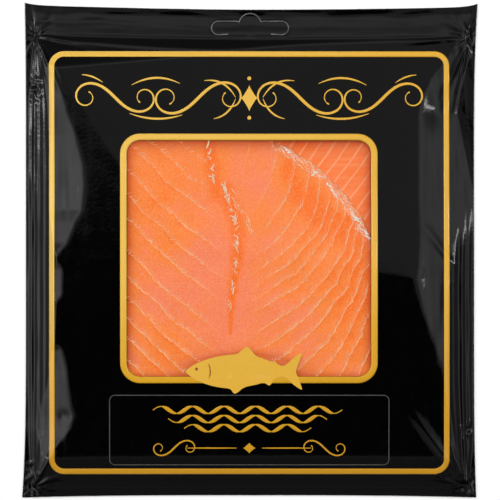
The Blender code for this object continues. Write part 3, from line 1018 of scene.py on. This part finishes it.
# The flecks sit in clusters down the seam: (height, half its length).
SEAM_CLUSTERS = (
    (42.0, 1.6), (38.6, 1.3), (34.0, 0.7), (30.0, 1.0), (26.4, 1.6), (23.0, 1.2), (20.2, 1.0),
    (17.2, 1.2), (13.4, 1.4), (10.4, 0.9), (7.2, 1.3), (3.4, 1.0), (-0.8, 1.2), (-5.6, 2.0),
    (-9.0, 0.8), (-14.6, 1.3), (-17.2, 0.7), (-23.4, 1.1),
)
seam_lines = []
for height, half in SEAM_CLUSTERS:
    stations = SEAM_HEAD if height > 27 else SEAM_FOOT
    seam_lines.append((seam_path(stations, height - half, height + half), None, False))
fat_strands("seam_flecks", seam_lines, seam_fat, {
    "Spacing": 0.40, "Sideways": 0.50, "Turn": 0.0, "Turn spread": 0.95, "Shortest": 0.7,
    "Longest": 2.6, "Thinnest": 0.08, "Thickest": 0.46, "Share kept": 0.62, "Seed": 6,
})
branch = [(-8.4, 25.4), (-7.0, 22.0), (-5.0, 18.0), (-2.5, 15.2), (-1.2, 12.7), (0.4, 7.7)]
fat_strands("seam_branch", [(branch, None, False)], seam_fat, {
    "Spacing": 0.55, "Sideways": 0.9, "Turn": 0.0, "Turn spread": 0.5, "Shortest": 1.0,
    "Longest": 2.6, "Thinnest": 0.06, "Thickest": 0.16, "Share kept": 0.7, "Seed": 9,
})


def line_paths(side, lines, places):
    """The paths of the pale lines, found where the rows of muscle pass whole numbers."""
    heights = np.arange(-56, 50, 0.25)
    paths = []
    for index in range(1, len(lines) - 1):
        path = []
        for x in places:
            bands = muscle_bands(np.full_like(heights, x), heights)[side]
            y = float(np.interp(index, bands, heights))
            inside = abs(y - WINDOW_MIDDLE[1]) < WINDOW_HALF[1] + 1
            if inside and free_edge_gap(np.array([x]), np.array([y]))[0] > 2.0:
                path.append((float(x), y))
        if len(path) > 4:
            paths.append((path, None, False))
    return paths


fat_strands("hairs_left", line_paths(0, LEFT_LINES, np.arange(-51, -17, 1.0)), line_fat, {
    "Spacing": 0.8, "Sideways": 0.2, "Turn": 0.9, "Turn spread": 0.8, "Shortest": 0.6,
    "Longest": 2.0, "Thinnest": 0.07, "Thickest": 0.17, "Share kept": 0.55, "Seed": 14,
})
fat_strands("hairs_right", line_paths(1, RIGHT_LINES, np.arange(6, 50, 1.0)), line_fat, {
    "Spacing": 0.8, "Sideways": 0.3, "Turn": 0.25, "Turn spread": 0.5, "Shortest": 0.7,
    "Longest": 2.6, "Thinnest": 0.07, "Thickest": 0.17, "Share kept": 0.55, "Seed": 15,
})
# Streaks along the free edge: pale flesh with painted wet highlights.
wet_lines = [
    (arc_path(SLICE_EDGE_RADIUS - inset, start, end), None, False)
    for inset, start, end in (
        (0.7, 24, 46), (1.6, 24, 46), (2.6, 25, 46), (3.6, 27, 42), (0.8, 48, 65), (1.8, 49, 65),
        (2.8, 50, 64), (3.8, 52, 62),
    )
]
fat_strands("wet_edge_streaks", wet_lines, wet_streak_and_highlight, {
    "Spacing": 0.7, "Sideways": 0.8, "Turn": 0.0, "Turn spread": 0.55, "Shortest": 0.6,
    "Longest": 2.6, "Thinnest": 0.06, "Thickest": 0.16, "Share kept": 0.46, "Seed": 23,
})
# Painted highlights: bright white glints, as on wet flesh, lie in patches along the free edge.
glint_lines = [
    ([(26.0, 31.0), (28.4, 32.6)], None, False), ([(31.4, 28.0), (35.4, 23.6)], None, False),
    ([(29.8, 33.2), (31.0, 31.8)], None, False), ([(41.8, 16.6), (45.6, 10.4)], None, False),
    ([(14.2, 42.2), (16.6, 40.6)], None, False), ([(47.0, 8.8), (49.6, 4.6)], None, False),
]
painted_glint = fat_and_glint_finish("wet_glint", (1.0, 1.0, 0.96), (1.0, 0.88, 0.76), 0.08)
fat_strands("wet_glints", glint_lines, painted_glint, {
    "Spacing": 0.45, "Sideways": 0.6, "Turn": 0.15, "Turn spread": 0.5, "Shortest": 0.6,
    "Longest": 1.9, "Thinnest": 0.12, "Thickest": 0.30, "Share kept": 0.7, "Seed": 31,
})

# ---- The clear window ------------------------------------------------------------------------
# The part of the front film that carries no print. It is the same thin clear plastic, drawn
# tight over the fish, and welded into the pouch all round under the gold frame.

WINDOW_THICKNESS = 0.12
WINDOW_TUCK = 1.1


def make_window_film():
    half = [size + WINDOW_TUCK for size in WINDOW_HALF]
    edge = arc_points(WINDOW_MIDDLE, half, WINDOW_CORNER + WINDOW_TUCK, 60, 14)
    middle = np.array(WINDOW_MIDDLE)
    shares = [1 - (step / 40) for step in range(40)] + [0.004]
    upper = []
    lower = []
    for share in shares:
        points = middle + (edge - middle) * share
        height = film_height(points[:, 0], points[:, 1]) - 0.02
        upper.append(np.column_stack([points, height]))
        lower.append(np.column_stack([points, height - WINDOW_THICKNESS]))
    return ring_mesh("window_film_clear", upper[::-1] + lower)


def clear_film_finish():
    film = Finish("clear_film")
    film.tree.nodes.remove(film.shader)
    clear = film.add("ShaderNodeBsdfTransparent", {"Color": (0.985, 0.985, 0.98)})
    gloss = film.add("ShaderNodeBsdfGlossy", {
        "Roughness": film.varied(0.05, 0.11, 180.0),
        "Normal": film.bump(film.noise(160.0), 0.0003, 0.05),
    })
    # Each face shines by 2% seen square on and more at a glance.
    facing = film.add("ShaderNodeLayerWeight", {"Blend": 0.5}).outputs["Facing"]
    shine = film.maths("MULTIPLY_ADD", film.maths("POWER", facing, 5.0), 0.55, 0.02)
    inputs = {"Fac": shine, 1: clear.outputs[0], 2: gloss.outputs[0]}
    both = film.add("ShaderNodeMixShader", inputs).outputs[0]
    film.join(both, film.tree.nodes["Material Output"].inputs["Surface"])
    return film.material


window_film = make_window_film()
window_film.data.materials.append(clear_film_finish())
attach(window_film, "root")
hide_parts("window_film")

# ---- The gold and grey print -----------------------------------------------------------------
# Lines of metallic ink on the film: a thin border near the edge, a thick frame round the window
# and a fine grey outline round the label. Each is printed at one width and follows every crease.


PRINT_INPUTS = (
    ("Path", "Geometry", None), ("Ink thickness", "Float", 0.00004), ("Lift", "Float", 0.00005),
    ("Film", "Object", None), ("Window", "Object", None), ("Ink", "Material", None),
)


def printed_line_tree():
    """A line of ink: its path swept with a flat section and laid on the film."""
    tree = Tree("printed_line", (
        *PRINT_INPUTS, ("Line width", "Float", 0.001), ("Point spacing", "Float", 0.0006)
    ))
    given = tree.given
    inputs = {"Curve": given["Path"], "Length": given["Point spacing"]}
    even = tree.add("GeometryNodeResampleCurve", inputs, mode="LENGTH")
    level = tree.add("GeometryNodeSetCurveNormal", {"Curve": even.outputs[0]}, mode="Z_UP")
    inputs = {"Width": given["Line width"], "Height": given["Ink thickness"]}
    section = tree.add("GeometryNodeCurvePrimitiveQuadrilateral", inputs)
    cuts = tree.add("GeometryNodeSubdivideCurve", {"Curve": section.outputs[0], "Cuts": 3})
    sweep = tree.add("GeometryNodeCurveToMesh", {
        "Curve": level.outputs[0], "Profile Curve": cuts.outputs[0], "Fill Caps": True,
        "Scale": tree.add("GeometryNodeInputRadius").outputs[0],
    })
    return tree.end(tree.landed(sweep.outputs[0], ("Film", "Window")), "Ink")


GOLD_STEPS = ((0.0, (0.56, 0.265, 0.006)), (0.5, (0.73, 0.375, 0.010)), (1.0, (0.90, 0.57, 0.10)))


def gold_ink_finish(name, foot_sheen):
    """Warm metallic gold ink with a fine even grain. Its painted sheen is lighter towards the
    left and the head, and deepens towards the foot.
    """
    ink = Finish(name)
    grain = ink.noise(1500.0)
    place = ink.parts(ink.place)
    # Painted sheen: the ink is lighter towards the head and the left and darker towards the foot,
    # as light falls on it.
    sheen_towards_head = ink.ranged(place["Y"], -0.09, -0.015, foot_sheen, 0.56)
    sheen_towards_left = ink.ranged(place["X"], 0.06, -0.085, 0.0, 0.34)
    sheen_off_foot = ink.ranged(place["Y"], -0.09, -0.02, 0.2, 1.0)
    tone = ink.maths("MULTIPLY_ADD", sheen_towards_left, sheen_off_foot, sheen_towards_head)
    tone = ink.maths("MULTIPLY_ADD", grain, 0.22, tone)
    tone = ink.maths("MULTIPLY_ADD", ink.noise(26.0), 0.16, tone)
    return ink.give({
        "Base Color": ink.ramp(ink.ranged(tone, 0.15, 1.15), GOLD_STEPS),
        "Metallic": 0.12,
        "Roughness": ink.ranged(grain, 0.3, 0.7, 0.30, 0.42),
        "Coat Weight": 1.0,
        "Coat Roughness": 0.07,
    })


PRINT_LIFT = 0.07
INK_THICKNESS = 0.05
BORDER_MIDDLE = (-0.3, -5.1)
BORDER_HALF = (82.15, 86.85)
BORDER_CORNER = 5.1
BORDER_WIDTH = 2.3
FRAME_MIDDLE = (-0.45, -3.3)
FRAME_HALF = (52.15, 50.5)
FRAME_CORNER = 7.0
FRAME_WIDTH = 2.7
LABEL_MIDDLE = (-0.3, -74.7)
LABEL_HALF = (58.1, 14.5)
LABEL_CORNER = 2.2
LABEL_LINE = 0.38

gold_ink = gold_ink_finish("gold_ink", 0.02)
line_tree = printed_line_tree()


def printed(name, tree, lines, ink, lift, values):
    piece = made_by_tree(name, path_object(name + "_path", lines), tree, {
        "Ink thickness": INK_THICKNESS * MM, "Lift": lift * MM, "Film": film_pouch,
        "Window": window_film, "Ink": ink, **values,
    })
    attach(piece, "root")
    return piece


def printed_lines(name, lines, width, ink, lift=PRINT_LIFT, spacing=0.5):
    measures = {"Line width": width * MM, "Point spacing": spacing * MM}
    piece = printed(name, line_tree, lines, ink, lift, measures)
    piece.data.polygons.foreach_set("use_smooth", [True] * len(piece.data.polygons))


def rounded_path(middle, half, corner):
    return [(arc_points(middle, half, corner, 40, 12), None, True)]


printed_lines(
    "gold_border", rounded_path(BORDER_MIDDLE, BORDER_HALF, BORDER_CORNER), BORDER_WIDTH, gold_ink
)
printed_lines(
    "gold_window_frame", rounded_path(FRAME_MIDDLE, FRAME_HALF, FRAME_CORNER), FRAME_WIDTH,
    gold_ink, 0.14,
)


def grey_ink_finish(name, darker, lighter):
    ink = Finish(name)
    return ink.give({
        "Base Color": ink.blend(ink.varied(0.0, 1.0, 300.0), darker, lighter),
        "Roughness": ink.varied(0.25, 0.35, 900.0),
    })


grey_ink = grey_ink_finish("grey_ink", (0.050, 0.050, 0.048), (0.075, 0.074, 0.070))
printed_lines(
    "grey_label_outline", rounded_path(LABEL_MIDDLE, LABEL_HALF, LABEL_CORNER), LABEL_LINE, grey_ink
)

# ---- The hang slot -----------------------------------------------------------------------------
# A euro slot with its flap still in place. A steel rule has cut through both welded films along
# this line, so their pale edges show, and the flap hangs on by the middle of its lower side. The
# cut is drawn as a grey line: partly those pale edges and partly a painted highlight along them.

SLOT_LINE = 0.42


def slot_path():
    """The cut from one end of the flap's hinge, over the hump and back to the other end."""
    def turned(centre, radius, start, end, steps):
        return [
            (
                centre[0] + radius * math.cos(math.radians(start + (end - start) * step / steps)),
                centre[1] + radius * math.sin(math.radians(start + (end - start) * step / steps)),
            )
            for step in range(steps + 1)
        ]

    reach = SLOT_HALF - SLOT_RADIUS
    left_end = turned((-reach, SLOT_HEIGHT), SLOT_RADIUS, 270, 90, 16)
    right_end = turned((reach, SLOT_HEIGHT), SLOT_RADIUS, 90, -90, 16)
    hump = turned((0.0, SLOT_HUMP_HEIGHT), SLOT_HUMP_RADIUS, 166, 14, 16)
    path = [(-9.1, SLOT_HEIGHT - SLOT_RADIUS + 0.25), *left_end]
    path += [(-5.6, SLOT_HEIGHT + SLOT_RADIUS), *hump, (5.6, SLOT_HEIGHT + SLOT_RADIUS)]
    path += [*right_end, (8.7, SLOT_HEIGHT - SLOT_RADIUS + 0.25)]
    return [(path, None, False)]


# The cut's grey is partly the pale film edges and partly painted highlight.
cut_edge_and_highlight = grey_ink_finish("cut_film_edge", (0.055, 0.055, 0.053), (0.16, 0.16, 0.155))
printed_lines("hang_slot_cut", slot_path(), SLOT_LINE, cut_edge_and_highlight, 0.06, 0.3)

# ---- The small gold print ----------------------------------------------------------------------
# Ornaments printed in the same gold ink: a row of scrolls above the window, waves and a ruled
# line on the label, and a plain fish across the foot of the window's frame.


PRINT_MIDDLE = -0.3


def scroll(middle, size, mirrored, thick, thin=0.26, reach=2.05, steps=110):
    """An S scroll whose curve tightens evenly towards both ends, thick in the middle."""
    along = np.linspace(-reach, reach, steps)
    step = along[1] - along[0]
    heading = math.pi * along**2 / 2
    x = np.cumsum(np.cos(heading)) * step
    y = np.cumsum(np.sin(heading)) * step
    x, y = (x - x.mean()) * size, (y - y.mean()) * size
    level = math.radians(-45)
    across = x * math.cos(level) - y * math.sin(level)
    up = (x * math.sin(level) + y * math.cos(level)) * (-1 if mirrored else 1)
    share = np.abs(along) / reach
    widths = thin + (thick - thin) * (1 - share**1.3)
    widths = np.where(share > 0.965, 0.62, widths)
    return (list(zip(middle[0] + across, middle[1] + up)), list(widths), False)


def mirrored_pair(line):
    points, widths, closed = line
    return [line, ([(2 * PRINT_MIDDLE - x, y) for x, y in points], widths, closed)]


def tapered(points, thick, thin=0.2):
    count = len(points)
    share = np.abs(np.linspace(-1, 1, count))
    return (points, list(thin + (thick - thin) * (1 - share**2)), False)


def bent_stroke(start, bend, end, thick, thin=0.2, steps=24):
    part = np.linspace(0, 1, steps)
    x = (1 - part) ** 2 * start[0] + 2 * part * (1 - part) * bend[0] + part**2 * end[0]
    y = (1 - part) ** 2 * start[1] + 2 * part * (1 - part) * bend[1] + part**2 * end[1]
    return tapered(list(zip(x, y)), thick, thin)


HEAD_ROW = 63.4
head_lines = []
for line in (
    scroll((21.0, HEAD_ROW), 18.6, False, 1.35),
    scroll((55.6, HEAD_ROW + 0.2), 17.0, True, 1.3),
    bent_stroke((5.4, HEAD_ROW + 0.3), (10, HEAD_ROW + 8.5), (18.5, HEAD_ROW + 7.2), 0.85),
    bent_stroke((5.4, HEAD_ROW - 0.3), (8, HEAD_ROW - 7.5), (14.5, HEAD_ROW - 8.6), 0.8),
    bent_stroke((28.5, HEAD_ROW + 6.0), (38.5, HEAD_ROW + 11.0), (48.5, HEAD_ROW + 5.4), 0.9),
    bent_stroke((27.5, HEAD_ROW - 7.0), (38.5, HEAD_ROW - 10.6), (49.5, HEAD_ROW - 6.4), 0.9),
    bent_stroke((60.5, HEAD_ROW + 6.4), (65, HEAD_ROW + 9.6), (69.3, HEAD_ROW + 9.6), 0.7),
):
    head_lines += mirrored_pair(line)
printed_lines("gold_head_scrolls", head_lines, 1.0, gold_ink, spacing=0.32)


WAVE_SWING = 1.45
WAVE_LENGTH = 13.1
WAVE_THICK = 1.6
LABEL_RULE = -82.2


def wave_line(height, half_length):
    x = np.linspace(-half_length, half_length, int(half_length * 5))
    y = height + WAVE_SWING * np.sin(2 * math.pi * x / WAVE_LENGTH)
    slope = np.abs(np.cos(2 * math.pi * x / WAVE_LENGTH))
    fade = np.clip((half_length - np.abs(x)) / 5, 0.25, 1)
    widths = (0.38 + (WAVE_THICK - 0.38) * slope) * fade
    return (list(zip(x + LABEL_MIDDLE[0] - 0.7, y)), list(widths), False)


label_lines = [wave_line(-66.3, 39.4), wave_line(-70.1, 33.0), wave_line(-73.9, 26.4)]
for line in (
    tapered([(5.0 + step * 0.5, LABEL_RULE) for step in range(42)], 0.55, 0.3),
    scroll((31.0, LABEL_RULE), 9.0, False, 0.75, 0.24),
):
    label_lines += mirrored_pair(line)
printed_lines("gold_label_waves", label_lines, 1.0, gold_ink, spacing=0.3)


def printed_patch_tree():
    """A filled shape of ink: its outline filled, cut small, made solid and laid on the film."""
    tree = Tree("printed_patch", (*PRINT_INPUTS, ("Cuts", "Int", 3)))
    given = tree.given
    fill = tree.add("GeometryNodeFillCurve", {"Curve": given["Path"]}, mode="TRIANGLES")
    inputs = {"Mesh": fill.outputs[0], "Level": given["Cuts"]}
    small = tree.add("GeometryNodeSubdivideMesh", inputs).outputs[0]
    raised = tree.add("GeometryNodeExtrudeMesh", {
        "Mesh": small, "Offset": tree.vector(z=given["Ink thickness"]), "Offset Scale": 1.0,
        "Individual": False,
    }, mode="FACES")
    closed = tree.add("GeometryNodeJoinGeometry", {0: raised.outputs["Mesh"]})
    under = tree.add("GeometryNodeFlipFaces", {"Mesh": small})
    tree.join(under.outputs[0], closed.inputs[0])
    inputs = {"Geometry": closed.outputs[0], "Distance": 0.000001}
    merged = tree.add("GeometryNodeMergeByDistance", inputs).outputs[0]
    return tree.end(tree.landed(merged, ("Film", "Window")), "Ink")


patch_tree = printed_patch_tree()


def printed_patch(name, outlines, ink, lift, cuts):
    outlines = [(outline, None, True) for outline in outlines]
    printed(name, patch_tree, outlines, ink, lift, {"Cuts": cuts})


def lozenge(middle, half_width, half_height):
    """A four pointed shape with hollow sides."""
    points = []
    for step in range(32):
        turn = 2 * math.pi * step / 32
        reach = 1 / (abs(math.cos(turn)) ** 0.72 + abs(math.sin(turn)) ** 0.72)
        points.append((
            middle[0] + half_width * reach * math.copysign(abs(math.cos(turn)), math.cos(turn)),
            middle[1] + half_height * reach * math.copysign(abs(math.sin(turn)), math.sin(turn)),
        ))
    return points


def disc(middle, radius, steps=20):
    turns = [2 * math.pi * step / steps for step in range(steps)]
    return [(middle[0] + radius * math.cos(t), middle[1] + radius * math.sin(t)) for t in turns]


printed_patch(
    "gold_lozenges",
    [
        lozenge((PRINT_MIDDLE, HEAD_ROW), 3.4, 5.4), lozenge((PRINT_MIDDLE, LABEL_RULE), 2.6, 2.2),
        disc((PRINT_MIDDLE, HEAD_ROW + 8.2), 0.8), disc((PRINT_MIDDLE, HEAD_ROW - 8.2), 0.8),
    ],
    gold_ink, PRINT_LIFT, 2,
)

# The fish swims level, towards the left.
FISH_MIDDLE = (-2.6, -50.2)
FISH_BACK = (
    (-24.0, 0.2), (-22.6, 1.5), (-20.0, 3.1), (-16.0, 4.8), (-11.0, 6.2), (-5.0, 7.0), (-2.5, 7.1),
    (-0.5, 9.3), (1.2, 10.2), (2.4, 9.7), (3.4, 8.2), (5.2, 6.3), (8.0, 5.3), (11.5, 3.9),
    (13.2, 4.1), (13.9, 3.0), (16.0, 2.0),
)
FISH_TAIL = (
    (18.0, 3.0), (20.6, 5.6), (23.6, 7.6), (24.4, 7.6), (23.4, 4.6), (22.2, 1.8), (21.6, 0.0),
    (22.2, -1.8), (23.4, -4.6), (24.4, -7.6), (23.6, -7.6), (20.6, -5.6), (18.0, -3.0),
)
FISH_BELLY = (
    (16.0, -2.0), (13.0, -2.9), (11.4, -5.4), (10.4, -6.1), (8.6, -4.6), (5.0, -5.6), (0.0, -6.6),
    (-2.5, -8.9), (-4.2, -9.5), (-5.4, -7.2), (-9.0, -6.9), (-13.5, -6.1), (-18.0, -4.5),
    (-21.5, -2.6), (-23.6, -1.0), (-24.3, -0.3),
)


def smoothed(points, rounds=2):
    """Cuts the corners of a closed outline, which leaves it gently rounded."""
    for _ in range(rounds):
        cut = []
        for (x, y), (next_x, next_y) in zip(points, points[1:] + points[:1]):
            cut.append((0.75 * x + 0.25 * next_x, 0.75 * y + 0.25 * next_y))
            cut.append((0.25 * x + 0.75 * next_x, 0.25 * y + 0.75 * next_y))
        points = cut
    return points


fish_outline = [
    (FISH_MIDDLE[0] + x, FISH_MIDDLE[1] + y) for x, y in FISH_BACK + FISH_TAIL + FISH_BELLY
]
fish_eye = disc((FISH_MIDDLE[0] - 19.6, FISH_MIDDLE[1] + 0.9), 0.62)
gill = [(-15.2 + 1.5 * math.sin(part), 3.6 * math.cos(part)) for part in np.linspace(0.5, 2.6, 12)]
gill += [(x - 0.42, y) for x, y in gill[::-1]]
gill = [(FISH_MIDDLE[0] + x, FISH_MIDDLE[1] + y - 0.2) for x, y in gill]
# The fish's painted sheen stays light down at the foot.
fish_ink = gold_ink_finish("gold_ink_fish", 0.54)
printed_patch("gold_fish", [smoothed(fish_outline), fish_eye, gill], fish_ink, 0.22, 3)

# ---- Floor, light and camera -----------------------------------------------------------------
# A white table in a white tent. The tent has a dark opening overhead, where the camera looks
# in, and that is what the flat black film mirrors.


FLOOR_HALF = 3.0
FLOOR_DROP = 0.0002


def make_floor():
    mesh = bpy.data.meshes.new("floor")
    corners = [(x * FLOOR_HALF, y * FLOOR_HALF, -FLOOR_DROP) for x, y in QUARTERS]
    mesh.from_pydata(corners, [], [(0, 1, 2, 3)])
    table = Finish("white_table")
    mesh.materials.append(table.give({
        "Base Color": table.blend(table.noise(8.0), (0.95, 0.95, 0.95), (0.97, 0.97, 0.97)),
        "Roughness": 0.8,
        "Specular IOR Level": 0.1,
    }))
    floor = in_scene("floor", mesh)


# The light of the tent, as (degrees from its dark opening, brightness).
OPENING_TILT = math.radians(5.0)
TENT_LIGHT = (
    (0, 0.0), (6.4, 0.0), (8.2, 0.26), (15.5, 0.32), (21, 0.85), (28, 1.22), (35, 0.75),
    (50, 0.28), (90, 0.22),
)
# Its head and foot ends are dimmer than its sides, and its left is brightest: each as
# (direction, from, to, brightness there, brightness here).
TENT_DIMMING = (
    ("Y", 0.10, 0.42, 1.0, 0.36), ("Y", -0.42, -0.10, 0.14, 1.0),
    ("X", 0.10, 0.40, 1.0, 0.70), ("X", -0.24, -0.06, 1.35, 1.0),
)


def make_tent():
    world = bpy.data.worlds.new("white_tent")
    bpy.context.scene.world = world
    world.use_nodes = True
    tent = Wiring(world.node_tree)
    place = tent.add("ShaderNodeTexCoord").outputs["Generated"]
    unit = tent.add("ShaderNodeVectorMath", {0: place}, operation="NORMALIZE").outputs[0]
    opening = (0.0, -math.sin(OPENING_TILT), math.cos(OPENING_TILT))
    near = tent.add("ShaderNodeVectorMath", {0: unit, 1: opening}, operation="DOT_PRODUCT")
    angle = tent.maths("ARCCOSINE", near.outputs["Value"])
    steps = [(degrees / 90, (light, light, light)) for degrees, light in TENT_LIGHT]
    light = tent.ramp(tent.maths("MULTIPLY", angle, 2 / math.pi), steps)
    directions = tent.parts(unit)
    for direction, *limits in TENT_DIMMING:
        light = tent.blend(1.0, light, tent.ranged(directions[direction], *limits), "MULTIPLY")
    tent.join(light, world.node_tree.nodes["Background"].inputs["Color"])


def make_light(name, place, size, power, seen_in_gloss=True):
    light = bpy.data.lights.new(name, "AREA")
    light.shape = "RECTANGLE"
    light.size, light.size_y = size
    light.energy = power
    lamp = in_scene(name, light)
    lamp.location = place
    lamp.rotation_euler = (-Vector(place)).to_track_quat("-Z", "Y").to_euler()
    lamp.visible_glossy = seen_in_gloss
    lamp.visible_camera = False


SENSOR_WIDTH = 36.0
CAMERA_AWAY = 1.5
VIEW_WIDTH = 0.2078


def make_camera():
    data = bpy.data.cameras.new("camera")
    data.sensor_width = SENSOR_WIDTH
    data.lens = SENSOR_WIDTH * CAMERA_AWAY / VIEW_WIDTH
    camera = in_scene("camera", data)
    camera.location = (0.0, 0.0002, CAMERA_AWAY + 0.006)
    bpy.context.scene.camera = camera


make_floor()
make_tent()
make_light("overhead_fill", (0.0, 0.25, 1.6), (1.0, 1.0), 22.5, seen_in_gloss=False)
make_light("head_strip", (-0.45, 1.6, 0.5), (0.5, 0.08), 1.8)
make_light("left_strip", (-1.2, 0.15, 0.9), (0.035, 1.1), 1.15)
make_light("right_strip", (1.2, 0.1, 0.9), (0.035, 1.1), 1.2)
make_camera()
bpy.context.scene.view_settings.view_transform = "Standard"
